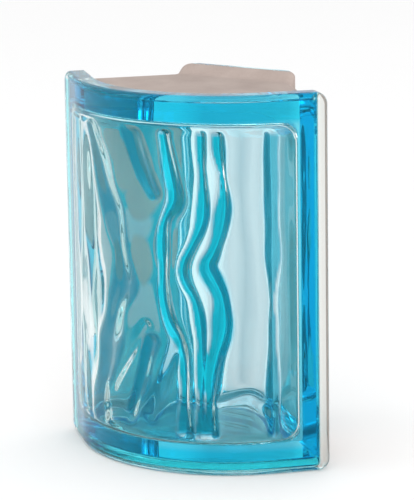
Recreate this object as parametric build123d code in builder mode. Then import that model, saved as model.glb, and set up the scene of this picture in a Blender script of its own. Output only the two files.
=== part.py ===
"""Hollow glass block for turning a wall round a right-angled corner.

Two pressed glass shells are fused into one sealed block: a bent outer shell with a rim,
and a deep tapering inner shell whose side walls carry an opaque bonding coat.
The block stands on its rims, with the bent outer face towards -Y and the flat back towards +Y.
"""

import os
from math import cos, hypot, pi, radians, sin, tan

from build123d import *

# Driving sizes of the block, in millimetres and degrees
HEIGHT = 190.0
TURN_ANGLE = 90.0
OUTER_RADIUS = 80.0
STRAIGHT_RUN = 30.0
END_DEPTH = 70.0

# Outer rim, flared back rim and the mortar key between them
RIM_DEPTH = 10.0
RIM_CORNER = 6.0
RIM_ROUND = 3.0
KEY_DEPTH = 5.0
KEY_CORNER = 2.0
ROOT_SLOPE_SHARE = 0.75
FLARE_DEPTH = 9.0
FLARE_ROUND = 8.0
BACK_LAND = 4.0
BACK_CORNER = 2.5
BACK_ROUND = 1.5

# Glass thickness, mould draft and the hollow inside
PANE = 7.0
WALL = 9.0
WALL_DRAFT = 2.0
HOLLOW_CORNER_SHARE = 0.36
HOLLOW_FLOOR_ROUND_SHARE = 0.22
FLOOR_ALLOWANCE = 2.4

# Bonding coat on the outside of the side walls
COAT = 0.5

# Ripples pressed into the inside faces of both panes
RIPPLE_HEIGHT = 0.9
RIPPLE_PITCH = 80.0
RIPPLE_SWAY = 8.0
RIPPLE_SWAY_PITCH = 116.0
RIPPLE_STEP = 10.0
RIPPLE_OVERRUN = 12.0
RIPPLE_TOLERANCE = 0.03

# Two places closer than this count as one
SAME_PLACE = 0.001

# Places that follow from the sizes above
HALF_TURN = radians(TURN_ANGLE / 2)
END_X = OUTER_RADIUS * sin(HALF_TURN) + STRAIGHT_RUN * cos(HALF_TURN)
END_BACK = OUTER_RADIUS * (1 - cos(HALF_TURN)) + STRAIGHT_RUN * sin(HALF_TURN)
DEPTH = END_BACK + END_DEPTH * cos(HALF_TURN)
CROWN_Y = -DEPTH / 2
BACK_Y = DEPTH / 2
END_Y = CROWN_Y + END_BACK
CENTRE_Y = CROWN_Y + OUTER_RADIUS
LAND_Y = BACK_Y - BACK_LAND
FLARE_Y = LAND_Y - FLARE_DEPTH


def end_half_width(y, inset):
    """Half the width at depth y of a body whose two ends lie an inset inside the end planes."""
    return END_X - (y - END_Y) * tan(HALF_TURN) - inset / cos(HALF_TURN)


def draw_outer_line(inset):
    """Draws the bent plan line of the outer face, moved inwards, and gives its two ends."""
    bend = CenterArc((0, CENTRE_Y), OUTER_RADIUS - inset, -90 - TURN_ANGLE / 2, TURN_ANGLE)
    right = Line(bend @ 1, bend @ 1 + STRAIGHT_RUN * (bend % 1))
    left = Line(bend @ 0, bend @ 0 - STRAIGHT_RUN * (bend % 0))
    return left @ 1, right @ 1


def depth_behind_face(point):
    """Distance of a point behind the bent outer face."""
    out = abs(point.X) * sin(HALF_TURN) - (point.Y - CENTRE_Y) * cos(HALF_TURN)
    along = abs(point.X) * cos(HALF_TURN) + (point.Y - CENTRE_Y) * sin(HALF_TURN)
    reach = out if along > 0 else hypot(point.X, point.Y - CENTRE_Y)
    return OUTER_RADIUS - reach


def rim_loop(plate):
    """Edges that run round a bent plate on its outer face."""
    loop = ShapeList()
    for edge in plate.edges():
        places = [edge @ t for t in (0, 0.5, 1)]
        on_face = all(abs(depth_behind_face(p)) < SAME_PLACE for p in places)
        upright = abs(places[0].Z - places[-1].Z) > HEIGHT / 2
        bend_line = abs(places[1].X) < OUTER_RADIUS * sin(HALF_TURN) + SAME_PLACE
        if on_face and not (upright and bend_line):
            loop.append(edge)
    return loop


def end_plan(stations, level):
    """Closed plan outline from pairs of depth and end inset, at a level, mirrored about the middle."""
    right = [(end_half_width(y, inset), y) for y, inset in stations]
    left = [(-x, y) for x, y in reversed(right)]
    with BuildSketch(Plane.XY.offset(level)) as plan:
        with BuildLine():
            Polyline(*right, *left, close=True)
        make_face()
    return plan.sketch


def bed_profile(stations):
    """Closed side outline from pairs of depth and bed inset, the same above and below."""
    low = [(y, inset) for y, inset in stations]
    high = [(y, HEIGHT - inset) for y, inset in reversed(low)]
    with BuildSketch(Plane.YZ) as profile:
        with BuildLine():
            Polyline(*low, *high, close=True)
        make_face()
    return profile.sketch


def corner_edges(body):
    """Edges of a body that run from front to back, between its ends and its beds."""
    picked = ShapeList()
    for edge in body.edges():
        level = abs((edge @ 0).Z - (edge @ 1).Z) < HEIGHT / 4
        deep = abs((edge @ 0).Y - (edge @ 1).Y) > SAME_PLACE
        if level and deep:
            picked.append(edge)
    return picked


def ripple(across, rise, turn):
    """Height of the pressed ripple at a place on a pane, with the pattern shifted by turn."""
    sway = RIPPLE_SWAY * sin(2 * pi * rise / RIPPLE_SWAY_PITCH + turn)
    return RIPPLE_HEIGHT * sin(2 * pi * (across + sway) / RIPPLE_PITCH + turn)


def steps(low, high):
    """Evenly spaced places from low to high, no further apart than the ripple step."""
    count = int((high - low) / RIPPLE_STEP) + 1
    return [low + (high - low) * i / count for i in range(count + 1)]


def outer_pane_point(run, z):
    """Point of the rippled inside face of the outer pane, by its run along the bend."""
    radius = OUTER_RADIUS - PANE - ripple(run, z, 0)
    bend_run = OUTER_RADIUS * HALF_TURN
    angle = max(-HALF_TURN, min(HALF_TURN, run / OUTER_RADIUS))
    beyond = run - max(-bend_run, min(bend_run, run))
    x = radius * sin(angle) + beyond * cos(angle)
    y = CENTRE_Y - radius * cos(angle) + beyond * sin(angle)
    return (x, y, z)


def inner_pane_point(x, z):
    """Point of the rippled inside face of the flat inner pane."""
    return (x, BACK_Y - PANE - ripple(x, z, pi / 3), z)


def rippled_face(place, half_run):
    """Smooth face through the rippled places of a pane, wider and taller than the hollow."""
    rows = steps(-RIPPLE_OVERRUN, HEIGHT + RIPPLE_OVERRUN)
    runs = steps(-half_run, half_run)
    grid = [[place(run, z) for run in runs] for z in rows]
    return Face.make_surface_from_array_of_points(grid, tol=RIPPLE_TOLERANCE, min_deg=3)


def tapered_prism(back_y, inset, corner):
    """Solid with both ends and both beds set in alike, as deep as back_y, its long edges rounded."""
    with BuildPart() as prism:
        extrude(end_plan([(CROWN_Y, inset), (back_y, inset)], inset), amount=HEIGHT - 2 * inset)
        fillet(corner_edges(prism), corner)
    return prism.part


def back_face(body):
    """Flat face at the back of a body."""
    return body.faces().sort_by(Axis.Y)[-1]


def root_loop(body):
    """Edges where the side walls of a body meet the back of the outer rim."""
    loop = ShapeList()
    for edge in body.edges():
        places = [edge @ t for t in (0, 0.5, 1)]
        on_rim = all(abs(depth_behind_face(p) - RIM_DEPTH) < SAME_PLACE for p in places)
        inside = all(abs(p.Z - HEIGHT / 2) < HEIGHT / 2 - SAME_PLACE for p in places)
        end_gap = min(end_half_width(p.Y, 0) - abs(p.X) for p in places)
        bend_line = abs(places[0].Z - places[-1].Z) > HEIGHT / 2 and abs(places[1].X) < END_X / 2
        if on_rim and inside and end_gap > SAME_PLACE and not bend_line:
            loop.append(edge)
    return loop


def cup_body(growth):
    """The inner shell's side walls, sloping root and flare as one solid, with its outside grown."""
    walls = tapered_prism(FLARE_Y, KEY_DEPTH - growth, KEY_CORNER + growth)
    land = tapered_prism(LAND_Y, COAT - growth, BACK_CORNER)
    with BuildPart() as cup:
        add(walls)
        loft([back_face(walls), back_face(land)], ruled=True)
        fillet(cup.edges().filter_by_position(Axis.Y, FLARE_Y, FLARE_Y), FLARE_ROUND)
        with BuildSketch():
            with BuildLine():
                near_left, near_right = draw_outer_line(RIM_DEPTH / 2)
                far_left, far_right = draw_outer_line(RIM_DEPTH)
                Line(near_left, far_left)
                Line(near_right, far_right)
            make_face()
        extrude(amount=HEIGHT)
        chamfer(root_loop(cup), ROOT_SLOPE_SHARE * KEY_DEPTH)
        with BuildSketch():
            with BuildLine():
                left_end, right_end = draw_outer_line(RIM_DEPTH)
                Polyline(left_end, (left_end.X, BACK_Y), (right_end.X, BACK_Y), right_end)
            make_face()
        extrude(amount=HEIGHT, mode=Mode.INTERSECT)
    return cup.part


# Sealed hollow between the two rippled panes
with BuildPart() as hollow:
    floor_y = BACK_Y - PANE + FLOOR_ALLOWANCE
    wall_inset = KEY_DEPTH + WALL
    floor_inset = wall_inset + (floor_y - CROWN_Y) * tan(radians(WALL_DRAFT))
    extrude(end_plan([(CROWN_Y, wall_inset), (floor_y, wall_inset)], 0), amount=HEIGHT)
    beds = bed_profile([(CROWN_Y, wall_inset), (floor_y, floor_inset)])
    extrude(beds, amount=2 * DEPTH, both=True, mode=Mode.INTERSECT)
    floor_width = 2 * end_half_width(floor_y, wall_inset)
    fillet(corner_edges(hollow), HOLLOW_CORNER_SHARE * floor_width)
    floor_loop = hollow.edges().filter_by_position(Axis.Y, floor_y, floor_y)
    fillet(floor_loop, HOLLOW_FLOOR_ROUND_SHARE * floor_width)
    outer_run = OUTER_RADIUS * HALF_TURN + STRAIGHT_RUN + RIPPLE_OVERRUN
    outer_ripples = rippled_face(outer_pane_point, outer_run)
    extrude(outer_ripples, amount=2 * DEPTH, dir=(0, 1, 0), mode=Mode.INTERSECT)
    inner_ripples = rippled_face(inner_pane_point, END_X)
    extrude(inner_ripples, amount=2 * DEPTH, dir=(0, -1, 0), mode=Mode.INTERSECT)

# Bent outer shell: pane and rim in one pressing
with BuildPart() as outer_shell:
    with BuildSketch():
        with BuildLine():
            front_left, front_right = draw_outer_line(0)
            back_left, back_right = draw_outer_line(RIM_DEPTH)
            Line(front_left, back_left)
            Line(front_right, back_right)
        make_face()
    extrude(amount=HEIGHT)
    end_faces = outer_shell.faces().sort_by(Axis.X)
    end_beds = end_faces[0].edges().filter_by(Plane.XY) + end_faces[-1].edges().filter_by(Plane.XY)
    fillet(end_beds, RIM_CORNER)
    fillet(rim_loop(outer_shell), RIM_ROUND)
    add(hollow.part, mode=Mode.SUBTRACT)

# Deep inner shell: side walls, flared rim and flat pane in one pressing
with BuildPart() as inner_shell:
    add(tapered_prism(BACK_Y, 0, BACK_CORNER))
    fillet(inner_shell.edges().filter_by_position(Axis.Y, BACK_Y, BACK_Y), BACK_ROUND)
    split(bisect_by=Plane(origin=(0, LAND_Y, 0), z_dir=(0, 1, 0)), keep=Keep.TOP)
    add(cup_body(0))
    add(hollow.part, mode=Mode.SUBTRACT)

# Bonding coat over the outside of the side walls, from the outer rim to the back land
with BuildPart() as edge_coating:
    add(cup_body(COAT))
    add(cup_body(0), mode=Mode.SUBTRACT)

outer_shell.part.label = "outer_shell"
inner_shell.part.label = "inner_shell"
edge_coating.part.label = "edge_coating"

os.makedirs("parts", exist_ok=True)
export_step(outer_shell.part, "parts/outer_shell.step")
export_step(inner_shell.part, "parts/inner_shell.step")
export_step(edge_coating.part, "parts/edge_coating.step")
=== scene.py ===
"""Looks of the corner glass block: clear bent outer shell, aqua tinted inner shell, beige bonding coat."""

import math

import bpy
import numpy as np
from mathutils import Matrix, Vector


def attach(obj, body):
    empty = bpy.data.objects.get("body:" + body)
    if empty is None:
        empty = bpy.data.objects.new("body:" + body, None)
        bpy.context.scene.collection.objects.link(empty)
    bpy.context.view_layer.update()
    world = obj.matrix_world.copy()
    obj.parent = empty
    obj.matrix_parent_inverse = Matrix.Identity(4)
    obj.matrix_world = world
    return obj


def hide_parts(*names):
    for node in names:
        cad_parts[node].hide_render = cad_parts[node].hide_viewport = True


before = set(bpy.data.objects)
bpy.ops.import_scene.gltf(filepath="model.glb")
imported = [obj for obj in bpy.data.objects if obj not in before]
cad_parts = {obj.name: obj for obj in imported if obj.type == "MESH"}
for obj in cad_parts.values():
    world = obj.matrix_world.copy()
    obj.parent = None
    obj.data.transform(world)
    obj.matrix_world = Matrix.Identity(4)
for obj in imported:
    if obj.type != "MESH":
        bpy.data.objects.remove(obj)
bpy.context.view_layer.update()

# The block's own sizes, in millimetres and degrees
HEIGHT = 190.0
HALF_TURN = math.radians(45.0)
OUTER_RADIUS = 80.0
STRAIGHT_RUN = 30.0
END_DEPTH = 70.0
RIM_DEPTH = 10.0
RIM_CORNER = 6.0
RIM_ROUND = 3.0
RIM_BACK_ROUND = 0.7
KEY_DEPTH = 5.0
KEY_CORNER = 2.0
ROOT_SLOPE = 3.75
ROOT_EASE = 1.3
ROOT_END_SHARE = 0.2
FLARE_DEPTH = 9.0
BACK_LAND = 4.0
BACK_CORNER = 2.5
BACK_ROUND = 1.5
PANE = 7.0
WALL = 9.0
WALL_DRAFT = math.radians(2.0)
HOLLOW_CORNER = 9.4
HOLLOW_FLOOR_ROUND = 5.8
HOLLOW_MOUTH_ROUND = 2.6
COAT = 0.5

# The two shells lap by a hair at the weld, and the coat stands a hair off the glass and the outer rim
WELD_LAP = 0.04
COAT_GAP = 0.02
COAT_RIM_GAP = 0.03

# Extra rings close to an edge hold its shading crisp
RIM_HOLD = 0.3
RIM_SIDE_RINGS = (3.4, 6.4)
LAND_HOLD = 0.15
MOUTH_HOLD = 0.2
WELD_HOLD = 0.05

# Where the weld's rings lie and how fast their corners tighten, and the least corner of the hollow's floor
WELD_SEAM = 0.02
WELD_MIDDLE = 9.0
WELD_CORNER_SHARE = 0.1
HOLLOW_FLOOR_CORNER = 1.5

# Mesh steps: along a bed, up an end, round a corner, round each edge, down the flare and along the root
BED_STEPS = 150
END_STEPS = 130
CORNER_STEPS = 8
RIM_STEPS = 9
RIM_BACK_STEPS = 4
MOUTH_STEPS = 7
BACK_STEPS = 7
FLOOR_STEPS = 10
FLARE_STEPS = 18
ROOT_STEPS = 6
KEY_WALL_SHARES = (0.02, 0.25, 0.5, 0.75, 0.98)
HOLLOW_WALL_SHARES = (0.0, 0.01, 0.15, 0.3, 0.45, 0.6, 0.75, 0.9, 0.99)

MM = 0.001
END_X = OUTER_RADIUS * math.sin(HALF_TURN) + STRAIGHT_RUN * math.cos(HALF_TURN)
END_BACK = OUTER_RADIUS * (1 - math.cos(HALF_TURN)) + STRAIGHT_RUN * math.sin(HALF_TURN)
DEPTH = END_BACK + END_DEPTH * math.cos(HALF_TURN)
CROWN_Y = -DEPTH / 2
BACK_Y = DEPTH / 2
END_Y = CROWN_Y + END_BACK
CENTRE_Y = CROWN_Y + OUTER_RADIUS
LAND_Y = BACK_Y - BACK_LAND
FLARE_Y = LAND_Y - FLARE_DEPTH
WALL_INSET = KEY_DEPTH + WALL
ROOT_END = RIM_DEPTH + ROOT_SLOPE


# Rings round the block: each is a rounded rectangle carried on a plan line, bent in front and flat behind

def bent_line(share, behind, inset):
    """Plan points of the bent line some way behind the outer face, its ends cut back by an inset."""
    radius = OUTER_RADIUS - behind
    bend = radius * HALF_TURN
    run = share * (bend + STRAIGHT_RUN - inset)
    turned = np.clip(run, -bend, bend)
    angle = turned / radius
    beyond = run - turned
    x = radius * np.sin(angle) + beyond * np.cos(angle)
    y = CENTRE_Y - radius * np.cos(angle) + beyond * np.sin(angle)
    return x, y


def half_width(y, inset):
    """Half the block's width at depth y, with both ends set in."""
    return END_X - (y - END_Y) * math.tan(HALF_TURN) - inset / math.cos(HALF_TURN)


class Ring:
    """One ring: flatness 0 lies on the bent line, 1 on a flat line at y, between them on a straight wall."""

    def __init__(self, inset, corner, behind=0.0, y=0.0, flatness=0.0, hollow=False, weld=0.0, ends=None):
        self.inset, self.corner, self.weld = inset, corner, weld
        self.ends = inset if ends is None else ends
        self.behind, self.y = behind, y
        self.flatness, self.hollow = flatness, hollow

    def reach(self):
        """How far the middle is from an end, measured square to the end."""
        bent = (OUTER_RADIUS - self.behind) * HALF_TURN + STRAIGHT_RUN - self.ends
        flat = half_width(self.y, self.ends) * math.cos(HALF_TURN)
        return (1 - self.flatness) * bent + self.flatness * flat

    def outline(self):
        """Shares along the plan line and heights, once round from the lower left corner."""
        low, c, reach = self.inset, self.corner, self.reach()
        turn = np.arange(CORNER_STEPS) / CORNER_STEPS * math.pi / 2
        inward, rise = c * (1 - np.cos(turn)), c * (1 - np.sin(turn))
        inward_back, rise_back = c * (1 - np.sin(turn)), c * (1 - np.cos(turn))
        along = np.arange(BED_STEPS) / BED_STEPS * 2 - 1
        up = np.arange(END_STEPS) / END_STEPS
        span = 1 - c / reach
        tall = low + c + up * (HEIGHT - 2 * low - 2 * c)
        share = np.concatenate([
            inward / reach - 1, along * span, 1 - inward_back / reach, np.ones(END_STEPS),
            1 - inward / reach, -along * span, inward_back / reach - 1, -np.ones(END_STEPS)])
        height = np.concatenate([
            low + rise, np.full(BED_STEPS, low), low + rise_back, tall,
            HEIGHT - low - rise, np.full(BED_STEPS, HEIGHT - low), HEIGHT - low - rise_back, HEIGHT - tall])
        return share, height

    def place(self, share, height):
        """Points of the ring's surface at shares and heights."""
        x0, y0 = bent_line(share, self.behind, self.ends)
        x1 = share * half_width(self.y, self.ends)
        x = x0 + (x1 - x0) * self.flatness
        y = y0 + (self.y - y0) * self.flatness
        if self.hollow:
            half = HEIGHT / 2 - WALL_INSET
            taper = (half - (y - CROWN_Y) * math.tan(WALL_DRAFT)) / half
            height = HEIGHT / 2 + (height - HEIGHT / 2) * taper
        return np.stack([x, y, height], axis=-1)


def pane_grid(share, height):
    """Shares and heights of a grid that fills a ring, by blending its four sides."""
    wide, tall = CORNER_STEPS + BED_STEPS, CORNER_STEPS + END_STEPS
    half = CORNER_STEPS // 2
    count = len(share)
    loop = np.arange(count)
    first = np.roll(loop, -half)
    sides = [first[:wide + 1], first[wide:wide + tall + 1],
             first[wide + tall:2 * wide + tall + 1][::-1],
             np.append(first[2 * wide + tall:], first[0])[::-1]]
    ring = np.stack([share, height], axis=-1)
    bottom, right, top, left = (ring[side] for side in sides)
    u = ((bottom[:, 0] - bottom[0, 0]) / (bottom[-1, 0] - bottom[0, 0]))[None, :, None]
    v = ((left[:, 1] - left[0, 1]) / (left[-1, 1] - left[0, 1]))[:, None, None]
    grid = (1 - v) * bottom[None] + v * top[None] + (1 - u) * left[:, None] + u * right[:, None]
    grid -= (1 - u) * (1 - v) * bottom[0] + u * (1 - v) * bottom[-1]
    grid -= (1 - u) * v * top[0] + u * v * top[-1]
    return grid, sides


def add_tag(mesh, tag, values):
    """Stores one number for each point of a mesh."""
    layer = mesh.attributes.new(tag, "FLOAT", "POINT")
    layer.data.foreach_set("value", np.asarray(values, np.float32))


def read_tag(mesh, tag):
    """Numbers stored for a mesh's points."""
    values = np.empty(len(mesh.vertices), np.float32)
    mesh.attributes[tag].data.foreach_get("value", values)
    return values


def read_spots(mesh):
    """Places of a mesh's points, in millimetres."""
    spots = np.empty(len(mesh.vertices) * 3, np.float32)
    mesh.vertices.foreach_get("co", spots)
    return spots.reshape(-1, 3) / MM


def shell_mesh(name, rings, closed_band=False):
    """Object skinned over rings in order; both ends are filled with pane grids unless the band closes."""
    count = 4 * CORNER_STEPS + 2 * BED_STEPS + 2 * END_STEPS
    points, faces, tags = [], [], []
    for ring in rings:
        points.append(ring.place(*ring.outline()))
        tags.append(np.zeros((count, 3)))
    rows = len(rings)
    step = np.arange(count)
    following = np.roll(step, -1)
    last = rows if closed_band else rows - 1
    for row in range(last):
        a, b = row * count, (row + 1) % rows * count
        faces.append(np.stack([a + step, a + following, b + following, b + step], axis=-1))
    total = rows * count
    if not closed_band:
        for row, ring in ((0, rings[0]), (rows - 1, rings[-1])):
            grid, sides = pane_grid(*ring.outline())
            number = np.full(grid.shape[:2], -1)
            number[0, :] = row * count + sides[0]
            number[:, -1] = row * count + sides[1]
            number[-1, :] = row * count + sides[2]
            number[:, 0] = row * count + sides[3]
            inner = number < 0
            number[inner] = total + np.arange(inner.sum())
            total += int(inner.sum())
            flat = grid[inner]
            points.append(ring.place(flat[:, 0], flat[:, 1]))
            edge_gap = np.minimum((1 - np.abs(flat[:, 0])) * ring.reach(),
                                  np.minimum(flat[:, 1], HEIGHT - flat[:, 1]) - ring.inset)
            run = flat[:, 0] * (ring.reach() if ring.flatness == 0 else half_width(ring.y, ring.inset))
            tags.append(np.stack([run * MM, flat[:, 1] * MM, edge_gap * MM], axis=-1))
            quads = np.stack([number[:-1, :-1], number[:-1, 1:], number[1:, 1:], number[1:, :-1]], axis=-1)
            quads = quads.reshape(-1, 4)
            faces.append(quads[:, ::-1] if row == 0 else quads)
    points, faces, tags = np.concatenate(points) * MM, np.concatenate(faces), np.concatenate(tags)
    if signed_volume(points, faces) < 0:
        faces = faces[:, ::-1]
    mesh = bpy.data.meshes.new(name)
    mesh.from_pydata(points.tolist(), [], faces.tolist())
    mesh.update()
    mesh.shade_smooth()
    for column, tag in enumerate(("run", "rise", "edge_gap")):
        add_tag(mesh, tag, tags[:, column])
    weld, side = np.zeros(len(points)), np.zeros(len(points))
    for row, ring in enumerate(rings):
        weld[row * count:(row + 1) * count] = ring.weld
    if closed_band:
        side[:rows // 2 * count] = 1.0
    add_tag(mesh, "weld", weld)
    add_tag(mesh, "glass_side", side)
    piece = bpy.data.objects.new(name, mesh)
    bpy.context.scene.collection.objects.link(piece)
    return piece


def signed_volume(points, faces):
    """Volume inside quads, positive when they face outwards."""
    a, b, c, d = (points[faces[:, k]] for k in range(4))
    return float((a * np.cross(b, c)).sum() + (a * np.cross(c, d)).sum()) / 6


def quarter(steps):
    """Sines and cosines of a quarter turn in equal steps, both ends included."""
    turn = np.linspace(0, math.pi / 2, steps + 1)
    return list(zip(np.sin(turn), np.cos(turn)))


def flare_inset(y):
    """Inset of the glass under the flare, an easy S from the key to the back land."""
    t = min(1.0, max(0.0, (y - FLARE_Y) / FLARE_DEPTH))
    return KEY_DEPTH + (COAT - KEY_DEPTH) * t * t * (3 - 2 * t)


def flare_corner(y):
    """Corner rounding along the flare, from the key's to the back rim's."""
    t = min(1.0, max(0.0, (y - FLARE_Y) / FLARE_DEPTH))
    return KEY_CORNER + (BACK_CORNER - KEY_CORNER) * t


def root_inset(behind, grow=0.0):
    """Inset of the sloping root where the side walls run out to the back of the outer rim."""
    left = max(0.0, (ROOT_END - behind) / ROOT_SLOPE)
    return KEY_DEPTH - grow - ROOT_SLOPE * left ** ROOT_EASE


def root_ring(behind, grow=0.0):
    """One ring of the sloping root, its corner widening with it, less steep at the ends."""
    inset = root_inset(behind, grow)
    ends = KEY_DEPTH - grow + (inset + grow - KEY_DEPTH) * ROOT_END_SHARE
    return Ring(inset, KEY_CORNER + (KEY_DEPTH - inset) * ROOT_END_SHARE, behind=behind, ends=ends)


def root_depths(first):
    """Depths behind the outer face from a first one to the end of the root."""
    return list(np.linspace(first, ROOT_END, ROOT_STEPS + 1))


def weld_rings(behind):
    """Rings across the face where the two shells are fused, from the root to the hollow."""
    rings = []
    for inset in (WELD_MIDDLE, WALL_INSET - WELD_HOLD):
        rings.append(Ring(inset, RIM_CORNER - inset * WELD_CORNER_SHARE, behind=behind, weld=1.0))
    return rings


def outer_shell_rings():
    """From the outer face over the rim to its back, then into the pane's inside face."""
    rings = []
    for sine, cosine in quarter(RIM_STEPS):
        inset = RIM_ROUND * (1 - sine)
        rings.append(Ring(inset, RIM_CORNER - inset, behind=RIM_ROUND * (1 - cosine)))
    for behind in (*RIM_SIDE_RINGS, RIM_DEPTH - RIM_BACK_ROUND - RIM_HOLD):
        rings.append(Ring(0.0, RIM_CORNER, behind=behind))
    for sine, cosine in quarter(RIM_BACK_STEPS):
        inset = RIM_BACK_ROUND * (1 - cosine)
        rings.append(Ring(inset, RIM_CORNER - inset, behind=RIM_DEPTH - RIM_BACK_ROUND * (1 - sine)))
    tip = root_ring(RIM_DEPTH)
    for step, weld in ((-WELD_SEAM, 0.0), (WELD_SEAM, 1.0)):
        rings.append(Ring(tip.inset + step, tip.corner, behind=RIM_DEPTH, ends=tip.ends + step, weld=weld))
    rings += weld_rings(RIM_DEPTH)
    for behind in (RIM_DEPTH, RIM_DEPTH - MOUTH_HOLD):
        rings.append(Ring(WALL_INSET, HOLLOW_CORNER, behind=behind, hollow=True))
    for sine, cosine in quarter(MOUTH_STEPS):
        inset = HOLLOW_MOUTH_ROUND * (1 - cosine)
        behind = PANE + HOLLOW_MOUTH_ROUND * (1 - sine)
        rings.append(Ring(WALL_INSET + inset, HOLLOW_CORNER - inset, behind=behind, hollow=True))
    return rings


def inner_shell_rings():
    """From the flat back over the land, flare and walls to the weld, then down the hollow to its floor."""
    rings = []
    weld = RIM_DEPTH - WELD_LAP
    for sine, cosine in quarter(BACK_STEPS):
        inset = BACK_ROUND * (1 - sine)
        rings.append(Ring(inset, BACK_CORNER - inset, y=BACK_Y - BACK_ROUND * (1 - cosine), flatness=1.0))
    for y in (BACK_Y - BACK_ROUND - RIM_HOLD, LAND_Y + LAND_HOLD, LAND_Y):
        rings.append(Ring(0.0, BACK_CORNER, y=y, flatness=1.0))
    for y in np.linspace(LAND_Y, FLARE_Y, FLARE_STEPS + 1):
        rings.append(Ring(flare_inset(y), flare_corner(y), y=y, flatness=1.0))
    for flatness in KEY_WALL_SHARES[::-1]:
        rings.append(Ring(KEY_DEPTH, KEY_CORNER, behind=ROOT_END, y=FLARE_Y, flatness=flatness))
    for behind in root_depths(RIM_DEPTH)[::-1]:
        rings.append(root_ring(behind))
    tip = root_ring(RIM_DEPTH)
    rings.append(Ring(tip.inset, tip.corner, behind=weld, ends=tip.ends))
    rings.append(Ring(tip.inset + WELD_SEAM, tip.corner, behind=weld, ends=tip.ends + WELD_SEAM, weld=1.0))
    rings += weld_rings(weld)
    floor_y = BACK_Y - PANE
    wall_y = floor_y - HOLLOW_FLOOR_ROUND
    for flatness in HOLLOW_WALL_SHARES:
        rings.append(Ring(WALL_INSET, HOLLOW_CORNER, behind=weld, y=wall_y, flatness=flatness, hollow=True))
    for sine, cosine in quarter(FLOOR_STEPS):
        inset = HOLLOW_FLOOR_ROUND * (1 - cosine)
        y = wall_y + HOLLOW_FLOOR_ROUND * sine
        corner = max(HOLLOW_FLOOR_CORNER, HOLLOW_CORNER - inset)
        rings.append(Ring(WALL_INSET + inset, corner, y=y, flatness=1.0, hollow=True))
    return rings


def bonding_coat_rings():
    """Once round the coat's thin section: along the glass, then back along its own outside."""
    inside, outside = [], []
    for grow, rings in ((COAT_GAP, inside), (COAT, outside)):
        for behind in root_depths(RIM_DEPTH + COAT_RIM_GAP):
            rings.append(root_ring(behind, grow))
        for share in KEY_WALL_SHARES:
            rings.append(Ring(KEY_DEPTH - grow, KEY_CORNER + grow, behind=ROOT_END, y=FLARE_Y,
                              flatness=share))
        for y in np.linspace(FLARE_Y, LAND_Y, FLARE_STEPS + 1):
            rings.append(Ring(flare_inset(y) - grow, flare_corner(y), y=y, flatness=1.0))
    return inside + outside[::-1]


# Ripples pressed into the inside faces of both panes

# The core of a fold that carries its painted reflection, in shares of its half width; the spacing of points
# along a fold line, in metres
FOLD_CORE_FULL = 1.2
FOLD_CORE_EDGE = 1.7
FOLD_LINE_STEP = 0.001
SWELL_GAIN = 2.0
DIMPLE_GAIN = 4.0


def node(tree, kind, inputs=(), **settings):
    """Adds a node, sets its properties and its inputs; an input may be a value or another socket."""
    made = tree.nodes.new(kind)
    for key, value in settings.items():
        setattr(made, key, value)
    for key, value in dict(inputs).items():
        if isinstance(value, bpy.types.NodeSocket):
            tree.links.new(value, made.inputs[key])
        else:
            made.inputs[key].default_value = value
    return made


def maths(tree, operation, a, b=0.0, c=0.0):
    """Socket of one maths node."""
    return node(tree, "ShaderNodeMath", {0: a, 1: b, 2: c}, operation=operation).outputs[0]


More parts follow.
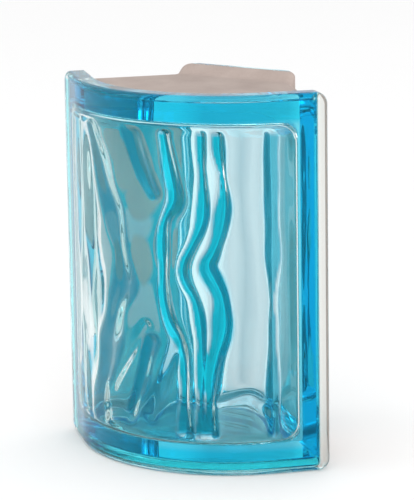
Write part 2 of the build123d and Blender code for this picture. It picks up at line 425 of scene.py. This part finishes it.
def pane_ripple_tree(name, glass, folds):
    """Geometry nodes that push a pane's inside face into long swaying waves and into folds along lines."""
    tree = bpy.data.node_groups.new(name, "GeometryNodeTree")
    sockets = {}

    def slot_in(label, kind="NodeSocketFloat"):
        sockets[label] = tree.interface.new_socket(label, in_out="INPUT", socket_type=kind).identifier

    slot_in("Geometry", "NodeSocketGeometry")
    for label in ("Wave Height", "Wave Pitch", "Wave Sway", "Sway Pitch", "Wave Turn", "Dimple Height",
                  "Dimple Pitch", "Dimple Stretch", "Dimple Seed", "Swell Pitch", "Edge Ease"):
        slot_in(label)
    for count in range(1, folds + 1):
        slot_in(f"Fold {count} Line", "NodeSocketObject")
        slot_in(f"Fold {count} Height")
        slot_in(f"Fold {count} Width")
        slot_in(f"Fold {count} Tint")
    tree.interface.new_socket("Geometry", in_out="OUTPUT", socket_type="NodeSocketGeometry")
    value = tree.nodes.new("NodeGroupInput").outputs
    group_out = tree.nodes.new("NodeGroupOutput")

    def tag(label):
        return node(tree, "GeometryNodeInputNamedAttribute", {"Name": label}, data_type="FLOAT").outputs[0]

    run, rise, gap = tag("run"), tag("rise"), tag("edge_gap")
    whole_turn = 2 * math.pi
    sway_angle = maths(tree, "ADD", maths(tree, "DIVIDE", maths(tree, "MULTIPLY", rise, whole_turn),
                                          value["Sway Pitch"]), value["Wave Turn"])
    sway = maths(tree, "MULTIPLY", maths(tree, "SINE", sway_angle), value["Wave Sway"])
    across = maths(tree, "ADD", run, sway)
    wave_angle = maths(tree, "ADD", maths(tree, "DIVIDE", maths(tree, "MULTIPLY", across, whole_turn),
                                          value["Wave Pitch"]), value["Wave Turn"])
    height = maths(tree, "MULTIPLY", maths(tree, "SINE", wave_angle), value["Wave Height"])

    dimple_x = maths(tree, "DIVIDE", run, value["Dimple Pitch"])
    dimple_z = maths(tree, "DIVIDE", rise, maths(tree, "MULTIPLY", value["Dimple Pitch"],
                                                 value["Dimple Stretch"]))
    spot = node(tree, "ShaderNodeCombineXYZ", {0: dimple_x, 1: dimple_z, 2: value["Dimple Seed"]}).outputs[0]
    noise = node(tree, "ShaderNodeTexNoise", {"Vector": spot, "Scale": 1.0, "Detail": 1.0, "Roughness": 0.35})
    dimple = maths(tree, "MULTIPLY", maths(tree, "SUBTRACT", noise.outputs[0], 0.5), DIMPLE_GAIN)
    height = maths(tree, "MULTIPLY_ADD", dimple, value["Dimple Height"], height)

    flat_spot = node(tree, "ShaderNodeCombineXYZ", {0: run, 1: rise, 2: 0.0}).outputs[0]
    tint = 0.0
    swell_spot = node(tree, "ShaderNodeCombineXYZ", {0: maths(tree, "DIVIDE", run, value["Swell Pitch"]),
                                                     1: maths(tree, "DIVIDE", rise, value["Swell Pitch"])})
    swell_noise = node(tree, "ShaderNodeTexNoise", {"Vector": swell_spot.outputs[0], "Scale": 1.0,
                                                    "Detail": 0.0})
    swell = maths(tree, "MULTIPLY", swell_noise.outputs[0], SWELL_GAIN)
    for count in range(1, folds + 1):
        line = node(tree, "GeometryNodeObjectInfo", {"Object": value[f"Fold {count} Line"]},
                    transform_space="ORIGINAL").outputs["Geometry"]
        even = node(tree, "GeometryNodeResampleCurve", {"Curve": line, "Length": FOLD_LINE_STEP},
                    mode="LENGTH")
        thread = node(tree, "GeometryNodeCurveToMesh", {"Curve": even.outputs[0]}).outputs[0]
        near = node(tree, "GeometryNodeProximity", {"Geometry": thread, "Sample Position": flat_spot},
                    target_element="EDGES")
        width = maths(tree, "MULTIPLY", value[f"Fold {count} Width"], swell)
        share = maths(tree, "DIVIDE", near.outputs["Distance"], width)
        bell = maths(tree, "EXPONENT", maths(tree, "MULTIPLY", maths(tree, "MULTIPLY", share, share), -1.0))
        height = maths(tree, "MULTIPLY_ADD", bell, value[f"Fold {count} Height"], height)
        core = node(tree, "ShaderNodeMapRange", {"Value": share, "From Min": FOLD_CORE_EDGE,
                                                 "From Max": FOLD_CORE_FULL},
                    interpolation_type="SMOOTHSTEP").outputs[0]
        # A fold's tint is a painted reflection: dark cyan that stands in for the tinted walls seen in the
        # fold
        tint = maths(tree, "MAXIMUM", tint, maths(tree, "MULTIPLY", core, value[f"Fold {count} Tint"]))

    ease = node(tree, "ShaderNodeMapRange", {"Value": gap, "From Min": 0.0, "From Max": value["Edge Ease"],
                                             "To Min": 0.0, "To Max": 1.0},
                interpolation_type="SMOOTHSTEP").outputs[0]
    height = maths(tree, "MULTIPLY", height, ease)
    normal = node(tree, "GeometryNodeInputNormal").outputs[0]
    shove = node(tree, "ShaderNodeVectorMath", {0: normal}, operation="SCALE")
    tree.links.new(height, shove.inputs["Scale"])
    moved = node(tree, "GeometryNodeSetPosition", {"Geometry": value["Geometry"], "Offset": shove.outputs[0]})
    on_pane = maths(tree, "GREATER_THAN", tag("rippled"), 0.5)
    tree.links.new(on_pane, moved.inputs["Selection"])
    # The folds' painted reflection, stored on the pane for the glass finish
    painted_reflection = maths(tree, "MULTIPLY", maths(tree, "MULTIPLY", tint, ease), on_pane)
    marked = node(tree, "GeometryNodeStoreNamedAttribute", {"Geometry": moved.outputs[0], "Name": "fold_tint",
                                                            "Value": painted_reflection}, data_type="FLOAT", domain="POINT")
    clad = node(tree, "GeometryNodeSetMaterial", {"Geometry": marked.outputs[0], "Material": glass})
    whole = node(tree, "GeometryNodeRealizeInstances", {"Geometry": clad.outputs[0]})
    tree.links.new(whole.outputs[0], group_out.inputs[0])
    return tree, sockets


def fold_line(name, places):
    """Smooth line through the unrolled pane, from runs and heights in millimetres."""
    curve = bpy.data.curves.new(name, "CURVE")
    curve.dimensions = "3D"
    spline = curve.splines.new("NURBS")
    spline.points.add(len(places) - 1)
    for point, (run, rise) in zip(spline.points, places):
        point.co = (run * MM, rise * MM, 0.0, 1.0)
    spline.order_u = 3
    spline.use_endpoint_u = True
    spline.resolution_u = 12
    line = bpy.data.objects.new(name, curve)
    bpy.context.scene.collection.objects.link(line)
    return line


def press_ripples(piece, glass, waves, folds):
    """Runs the ripple nodes on a shell and leaves a plain mesh."""
    tree, sockets = pane_ripple_tree(piece.name + "_ripples", glass, len(folds))
    modifier = piece.modifiers.new("pane_ripples", "NODES")
    modifier.node_group = tree
    for label, value in waves.items():
        modifier[sockets[label]] = value
    lines = []
    for count, (height, width, tint, places) in enumerate(folds, 1):
        line = fold_line(f"{piece.name}_fold_{count}", places)
        lines.append(line)
        modifier[sockets[f"Fold {count} Line"]] = line
        modifier[sockets[f"Fold {count} Height"]] = height * MM
        modifier[sockets[f"Fold {count} Width"]] = width * MM
        modifier[sockets[f"Fold {count} Tint"]] = tint
    shaped = piece.evaluated_get(bpy.context.evaluated_depsgraph_get())
    mesh = bpy.data.meshes.new_from_object(shaped)
    piece.modifiers.remove(modifier)
    for line in lines:
        bpy.data.objects.remove(line)
    piece.data = mesh
    mesh.name = piece.name
    return piece


def mark_pane(piece, keep):
    """Marks the inside face of a pane, where the ripples go, by a test on its points."""
    mesh = piece.data
    chosen = (read_tag(mesh, "edge_gap") > 0) & keep(read_spots(mesh))
    add_tag(mesh, "rippled", chosen)


# The outer shell's coloured bands ease in over this width, and reach this far past the edges behind them
FRAME_EASE = 1.5
FRAME_LAP = 0.5


def mark_frame(piece):
    """Marks the band of the outer face in front of the walls, and the clear strips at the two ends."""
    mesh = piece.data
    run, rise = read_tag(mesh, "run") / MM, read_tag(mesh, "rise") / MM
    end_gap = OUTER_RADIUS * HALF_TURN + STRAIGHT_RUN - np.abs(run)
    bed_gap = np.minimum(rise, HEIGHT - rise)
    over_walls = np.clip((WALL_INSET + FRAME_LAP - np.minimum(end_gap, bed_gap)) / FRAME_EASE, 0, 1)
    clear_of_key = np.clip((end_gap - KEY_DEPTH) / FRAME_EASE, 0, 1)
    outer_face = (read_tag(mesh, "edge_gap") > 0) & (read_tag(mesh, "rippled") < 0.5)
    add_tag(mesh, "frame_band", over_walls * clear_of_key * outer_face)
    spots = read_spots(mesh)
    from_end = (half_width(spots[:, 1], 0.0) - np.abs(spots[:, 0])) * math.cos(HALF_TURN)
    add_tag(mesh, "end_strip", np.clip((KEY_DEPTH + FRAME_LAP - from_end) / FRAME_EASE, 0, 1))


# Finishes

BAND_COLOUR = (0.03, 0.86, 1.0, 1.0)
STRIP_COLOUR = (0.88, 0.83, 0.79, 1.0)
FOLD_PAINTED_REFLECTION_COLOUR = (0.0, 0.36, 0.55, 1.0)
# Dark cyan painted along the folds: a painted reflection of the tinted walls that the folds show
WHITE = (1.0, 1.0, 1.0, 1.0)
GLINT_COLOUR = (0.12, 0.8, 1.0, 1.0)
WET_WALL_COLOUR = (0.6, 0.97, 1.0, 1.0)

# Dark and light tone of the coat outside, under the glass and in its grey patches, and of the floor
BEIGE_TONES = ((0.35, 0.28, 0.25), (0.48, 0.40, 0.362))
AQUA_TONES = ((0.06, 0.80, 0.94), (0.45, 0.96, 1.0))
GREY_TONES = ((0.98, 0.76, 0.66), (1.0, 0.82, 0.72))
FLOOR_TONES = ((0.94, 0.94, 0.94), (0.96, 0.96, 0.96))

# Width in metres over which a pane's colour, on the tinted shell a little blue tint and mostly painted shade,
# eases in, and the glass's refraction
PANE_EASE = 0.006
GLASS_IOR = 1.52

# Shares of cloud and sand in the coat's tone, and where a patch's soft edge starts and ends
CLOUD_SHARE = 0.75
SAND_SHARE = 0.25
PATCH_EDGE = 1.15
PATCH_FULL = 0.85

# Patches of the coat on the left wall, seen through the glass: middle and half sizes in millimetres
GREY_PATCHES = (
    ((-57, 11.5, 154), (9, 9, 12)),
    ((-51, 17.5, 141), (10, 10, 14)),
    ((-45.5, 22.8, 124), (8, 8, 12)),
    ((-47.4, 20.9, 90), (9, 9, 14)),
    ((-34, 34.0, 96), (5, 5, 10)),
    ((-35.3, 33.0, 154), (4, 4, 18)),
)
# The pale patches are painted light: brighter pools on the coat's glass side where more light comes in
# through the glass
PAINTED_LIGHT_PATCHES = (
    ((-50, 18.3, 109), (12, 12, 10)),
    ((-46.5, 21.8, 63), (11, 11, 15)),
    ((-32.1, 36.2, 118), (4.5, 4.5, 14)),
    ((-67, 1.3, 100), (7, 7, 70)),
)
LEFT_WALL_X = -14.0
LEFT_WALL_FOOT = 17.0


def finish_tree(name):
    """A new material with its shader and output."""
    made = bpy.data.materials.new(name)
    made.use_nodes = True
    tree = made.node_tree
    tree.nodes.clear()
    shader = tree.nodes.new("ShaderNodeBsdfPrincipled")
    out = tree.nodes.new("ShaderNodeOutputMaterial")
    tree.links.new(shader.outputs[0], out.inputs["Surface"])
    return made, tree, shader, out


def two_tone(tree, tone, low, high, start=0.3, end=0.7):
    """Colour between two tones."""
    ramp = node(tree, "ShaderNodeValToRGB", {0: tone})
    for element, place, colour in zip(ramp.color_ramp.elements, (start, end), (low, high)):
        element.position = place
        element.color = (*colour, 1.0)
    return ramp.outputs[0]


def blend(tree, share, a, b):
    """Colour blended from a to b."""
    made = node(tree, "ShaderNodeMix", {"Factor": share, 6: a, 7: b}, data_type="RGBA")
    return made.outputs[2]


def point_tag(tree, tag):
    """Socket of a number stored for a piece's points."""
    return node(tree, "ShaderNodeAttribute", attribute_name=tag).outputs["Fac"]


def pressed_glass(name, tint, density, pane_tint_and_shade):
    """Pressed glass: a faint orange-peel on the skin, colour from its depth and its bands, painted shade on
    its pane and a painted reflection along its folds.
    """
    made, tree, shader, out = finish_tree(name)
    gap = point_tag(tree, "edge_gap")
    middle = node(tree, "ShaderNodeMapRange", {"Value": gap, "From Min": 0.0, "From Max": PANE_EASE})
    colour = blend(tree, middle.outputs[0], WHITE, (*pane_tint_and_shade, 1.0))
    for tag, tone in (("end_strip", STRIP_COLOUR), ("frame_band", BAND_COLOUR), ("fold_tint", FOLD_PAINTED_REFLECTION_COLOUR)):
        colour = blend(tree, point_tag(tree, tag), colour, tone)
    tree.links.new(colour, shader.inputs["Base Color"])
    shader.inputs["Specular Tint"].default_value = GLINT_COLOUR
    shader.inputs["Transmission Weight"].default_value = 1.0
    shader.inputs["IOR"].default_value = GLASS_IOR
    shader.inputs["Roughness"].default_value = 0.0
    spot = node(tree, "ShaderNodeTexCoord").outputs["Object"]
    peel = node(tree, "ShaderNodeTexNoise", {"Vector": spot, "Scale": 70.0, "Detail": 1.0})
    skin = node(tree, "ShaderNodeBump", {"Height": peel.outputs[0], "Strength": 0.06, "Distance": 0.0006})
    tree.links.new(skin.outputs[0], shader.inputs["Normal"])
    tree.links.new(maths(tree, "SUBTRACT", 1.0, point_tag(tree, "weld")), shader.inputs["Alpha"])
    depth = node(tree, "ShaderNodeVolumeAbsorption", {"Color": (*tint, 1.0), "Density": density})
    tree.links.new(depth.outputs[0], out.inputs["Volume"])
    return made


def coat_patch_mask(tree, spot, patches):
    """One inside the patches, zero elsewhere."""
    mask = None
    for middle, half in patches:
        off = node(tree, "ShaderNodeVectorMath", {0: spot, 1: [c * MM for c in middle]}, operation="SUBTRACT")
        share = node(tree, "ShaderNodeVectorMath", {0: off.outputs[0], 1: [c * MM for c in half]},
                     operation="DIVIDE")
        far = node(tree, "ShaderNodeVectorMath", {0: share.outputs[0]}, operation="LENGTH").outputs["Value"]
        inside = node(tree, "ShaderNodeMapRange", {"Value": far, "From Min": PATCH_EDGE,
                                                   "From Max": PATCH_FULL},
                      interpolation_type="SMOOTHSTEP").outputs[0]
        mask = inside if mask is None else maths(tree, "MAXIMUM", mask, inside)
    return mask


def left_wall_mask(tree, spot):
    """One on the left wall between the beds, zero elsewhere."""
    place = node(tree, "ShaderNodeSeparateXYZ", {0: spot}).outputs
    left = maths(tree, "LESS_THAN", place[0], LEFT_WALL_X * MM)
    above = maths(tree, "GREATER_THAN", place[2], LEFT_WALL_FOOT * MM)
    below = maths(tree, "LESS_THAN", place[2], (HEIGHT - LEFT_WALL_FOOT) * MM)
    return maths(tree, "MULTIPLY", left, maths(tree, "MULTIPLY", above, below))


def bonding_coat_finish():
    """Beige bonding coat: cloudy, sandy and matt outside, aqua with grey patches and pale patches of painted
    light under the glass.
    """
    made, tree, shader, _ = finish_tree("bonding_coat")
    spot = node(tree, "ShaderNodeTexCoord").outputs["Object"]
    cloud = node(tree, "ShaderNodeTexNoise", {"Vector": spot, "Scale": 34.0, "Detail": 4.0, "Roughness": 0.6})
    sand = node(tree, "ShaderNodeTexNoise", {"Vector": spot, "Scale": 900.0, "Detail": 2.0, "Roughness": 0.7})
    tone = maths(tree, "ADD", maths(tree, "MULTIPLY", cloud.outputs[0], CLOUD_SHARE),
                 maths(tree, "MULTIPLY", sand.outputs[0], SAND_SHARE))
    beige = two_tone(tree, tone, *BEIGE_TONES)
    tall = node(tree, "ShaderNodeMapping", {"Vector": spot, "Scale": (1.0, 1.0, 0.4)}).outputs[0]
    drift = node(tree, "ShaderNodeTexNoise", {"Vector": tall, "Scale": 26.0, "Detail": 1.5}).outputs[0]
    aqua = two_tone(tree, drift, *AQUA_TONES, start=0.42, end=0.56)
    # Pale patches blend the aqua towards white: painted light
    pale = blend(tree, coat_patch_mask(tree, spot, PAINTED_LIGHT_PATCHES), aqua, WHITE)
    grey = two_tone(tree, tone, *GREY_TONES)
    patched = blend(tree, coat_patch_mask(tree, spot, GREY_PATCHES), pale, grey)
    wet = blend(tree, left_wall_mask(tree, spot), WET_WALL_COLOUR, patched)
    tree.links.new(blend(tree, point_tag(tree, "glass_side"), beige, wet), shader.inputs["Base Color"])
    shader.inputs["Roughness"].default_value = 0.85
    grain = node(tree, "ShaderNodeBump", {"Height": tone, "Strength": 0.35, "Distance": 0.0004})
    tree.links.new(grain.outputs[0], shader.inputs["Normal"])
    return made


def studio_floor_finish():
    """Plain pale floor."""
    made, tree, shader, _ = finish_tree("studio_floor")
    spot = node(tree, "ShaderNodeTexCoord").outputs["Object"]
    cloud = node(tree, "ShaderNodeTexNoise", {"Vector": spot, "Scale": 3.0, "Detail": 2.0})
    pale = two_tone(tree, cloud.outputs[0], *FLOOR_TONES, start=0.0, end=1.0)
    tree.links.new(pale, shader.inputs["Base Color"])
    shader.inputs["Roughness"].default_value = 0.9
    shader.inputs["Specular IOR Level"].default_value = 0.1
    return made


# The block

# Folds pressed along lines of the unrolled pane: height, half width, tint (how much painted reflection the
# fold carries), then the line's runs and heights
OUTER_FOLDS = (
    (1.7, 2.6, 1.0, ((7, 182), (7.5, 171), (9.5, 160), (12, 148), (13.5, 137), (7, 128), (6.4, 116),
                     (6.6, 103), (6.4, 90), (8.7, 77), (15.4, 66), (16.3, 55), (16.6, 42), (16.6, 20))),
    (1.2, 1.9, 1.0, ((26.4, 182), (26.4, 173), (26.2, 158), (27.2, 142), (27, 128), (22, 117), (15.5, 105),
                     (16.8, 97), (22.3, 89), (24.5, 77), (25.1, 61), (24.3, 39), (24.3, 20))),
    (2.0, 3.0, 1.0, ((34, 182), (34.3, 172), (34.5, 161), (36.6, 149), (37.2, 136), (35.5, 123), (31.4, 112),
                     (27.5, 106), (31, 98), (35, 90), (35.6, 79), (34.7, 69), (31.4, 58), (28.8, 41),
                     (28.8, 20))),
    (1.4, 5.0, 0.9, ((-46, 182), (-40, 170), (-32, 156), (-28, 143), (-22, 131), (-19.6, 116), (-16.8, 102),
                     (-16.4, 90), (-21.6, 80), (-26, 66), (-29.4, 50), (-35, 29), (-36, 16))),
    (1.8, 4.4, 0.0, ((-25.6, 39), (-16.3, 56), (-4.2, 73))),
    (1.6, 3.4, 1.0, ((-12.6, 30), (-5.9, 46), (-1.5, 65))),
    (1.4, 3.4, 0.7, ((-2.4, 28), (5.4, 46), (12.8, 63))),
    (1.2, 4.0, 0.3, ((-34, 22), (-23, 31), (-15, 26))),
    (1.2, 2.2, 0.97, ((59.5, 182), (59.5, 171), (59.3, 154), (60, 135), (59.3, 78), (59.6, 32), (59.6, 16))),
    (1.0, 2.0, 0.5, ((33.5, 36.4), (44.5, 40.4), (50.8, 39.4), (58.8, 30.6))),
    (1.2, 3.0, 0.97, ((-16, 182), (-10, 172), (-4, 150), (2, 140))),
)

# Waves and dimples of both panes, then what differs: their start, the dimples and the ease at the edge
PANE_WAVES = {
    "Wave Height": 0.9 * MM, "Wave Pitch": 80 * MM, "Wave Sway": 8 * MM, "Sway Pitch": 116 * MM,
    "Dimple Pitch": 26 * MM, "Dimple Stretch": 2.0, "Swell Pitch": 24 * MM}
OUTER_WAVES = {**PANE_WAVES, "Wave Turn": 0.0, "Dimple Height": 0.35 * MM, "Dimple Seed": 3.1,
               "Edge Ease": 3 * MM}
INNER_WAVES = {**PANE_WAVES, "Wave Turn": math.pi / 3, "Dimple Height": 0.3 * MM, "Dimple Seed": 7.7,
               "Edge Ease": 6 * MM}

clear_glass = pressed_glass("clear_glass", (0.42, 0.74, 0.76), 14.0, (1.0, 1.0, 1.0))
# The tinted shell's pane colour is mostly painted shade: it darkens what is seen through the back pane, with
# a little blue tint
tinted_glass = pressed_glass("tinted_glass", (0.30, 0.86, 0.94), 40.0, (0.46, 0.52, 0.565))

outer_glass = shell_mesh("outer_shell_glass", outer_shell_rings())
mark_pane(outer_glass, lambda p: np.hypot(p[:, 0], p[:, 1] - CENTRE_Y) < OUTER_RADIUS - PANE / 2)
mark_frame(outer_glass)
press_ripples(outer_glass, clear_glass, OUTER_WAVES, OUTER_FOLDS)

inner_glass = shell_mesh("inner_shell_glass", inner_shell_rings())
mark_pane(inner_glass, lambda p: (p[:, 1] < BACK_Y - PANE / 2) & (p[:, 1] > FLARE_Y))
press_ripples(inner_glass, tinted_glass, INNER_WAVES, ())

coat = shell_mesh("edge_coat", bonding_coat_rings(), closed_band=True)
coat.data.materials.append(bonding_coat_finish())

for piece, cad_node, finish in ((outer_glass, "outer_shell", "clear_glass"),
                                (inner_glass, "inner_shell", "tinted_glass"),
                                (coat, "edge_coating", "bonding_coat")):
    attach(piece, "root")
    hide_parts(cad_node)


# Studio

def studio_floor():
    """Wide pale floor under the block."""
    reach = 6.0
    mesh = bpy.data.meshes.new("studio_floor")
    corners = [(-reach, -reach, 0), (reach, -reach, 0), (reach, reach, 0), (-reach, reach, 0)]
    mesh.from_pydata(corners, [], [(0, 1, 2, 3)])
    mesh.materials.append(studio_floor_finish())
    floor = bpy.data.objects.new("studio_floor", mesh)
    bpy.context.scene.collection.objects.link(floor)


def studio_world():
    """White surround for the eye and for what the glass shows, a touch weaker for what lights the coat."""
    world = bpy.data.worlds.new("studio_world")
    bpy.context.scene.world = world
    world.use_nodes = True
    tree = world.node_tree
    tree.nodes.clear()
    path = node(tree, "ShaderNodeLightPath").outputs
    seen = maths(tree, "MAXIMUM", path["Is Camera Ray"],
                 maths(tree, "MAXIMUM", path["Is Glossy Ray"], path["Is Transmission Ray"]))
    light = node(tree, "ShaderNodeBackground", {"Color": WHITE, "Strength": 0.98})
    white = node(tree, "ShaderNodeBackground", {"Color": WHITE, "Strength": 1.0})
    mix = node(tree, "ShaderNodeMixShader", {0: seen, 1: light.outputs[0], 2: white.outputs[0]})
    out = tree.nodes.new("ShaderNodeOutputWorld")
    tree.links.new(mix.outputs[0], out.inputs["Surface"])


def softbox(name, place, aim, size, power):
    """Soft rectangular lamp."""
    lamp = bpy.data.lights.new(name, "AREA")
    lamp.shape = "RECTANGLE"
    lamp.size, lamp.size_y = size
    lamp.energy = power
    holder = bpy.data.objects.new(name, lamp)
    holder.location = place
    holder.rotation_mode = "QUATERNION"
    holder.rotation_quaternion = (Vector(aim) - Vector(place)).to_track_quat("-Z", "Y")
    bpy.context.scene.collection.objects.link(holder)


def studio_camera():
    """Camera where the photograph was taken from: right of the crown and a little above."""
    azimuth, elevation, roll = math.radians(32.2), math.radians(12.7), math.radians(-0.9)
    distance, across, rise = 1.4023, 0.0298, 0.1122
    right = Vector((math.cos(azimuth), math.sin(azimuth), 0))
    back = Vector((math.sin(azimuth) * math.cos(elevation), -math.cos(azimuth) * math.cos(elevation),
                   math.sin(elevation)))
    up = back.cross(right)
    target = right * across + Vector((0, CROWN_Y * MM, rise))
    level, tilt = math.cos(roll), math.sin(roll)
    right, up = right * level + up * tilt, up * level - right * tilt
    lens = bpy.data.cameras.new("studio_camera")
    lens.sensor_width = 36.0
    lens.lens = 206.55
    lens.clip_start, lens.clip_end = 0.05, 50.0
    camera = bpy.data.objects.new("studio_camera", lens)
    turn = Matrix((right, up, back)).transposed().to_4x4()
    camera.matrix_world = Matrix.Translation(target + back * distance) @ turn
    bpy.context.scene.collection.objects.link(camera)
    bpy.context.scene.camera = camera


studio_floor()
studio_world()
softbox("key_softbox", (1.25, -1.5, 0.62), (0, 0, 0.1), (2.2, 1.1), 26.0)
softbox("fill_softbox", (-1.2, -0.9, 1.0), (0, 0, 0.1), (0.6, 1.0), 3.0)
studio_camera()

light_paths = bpy.context.scene.cycles
light_paths.max_bounces = 28
light_paths.transmission_bounces = 28
light_paths.glossy_bounces = 20
light_paths.transparent_max_bounces = 40
settings = bpy.context.scene.view_settings
settings.view_transform = "Standard"
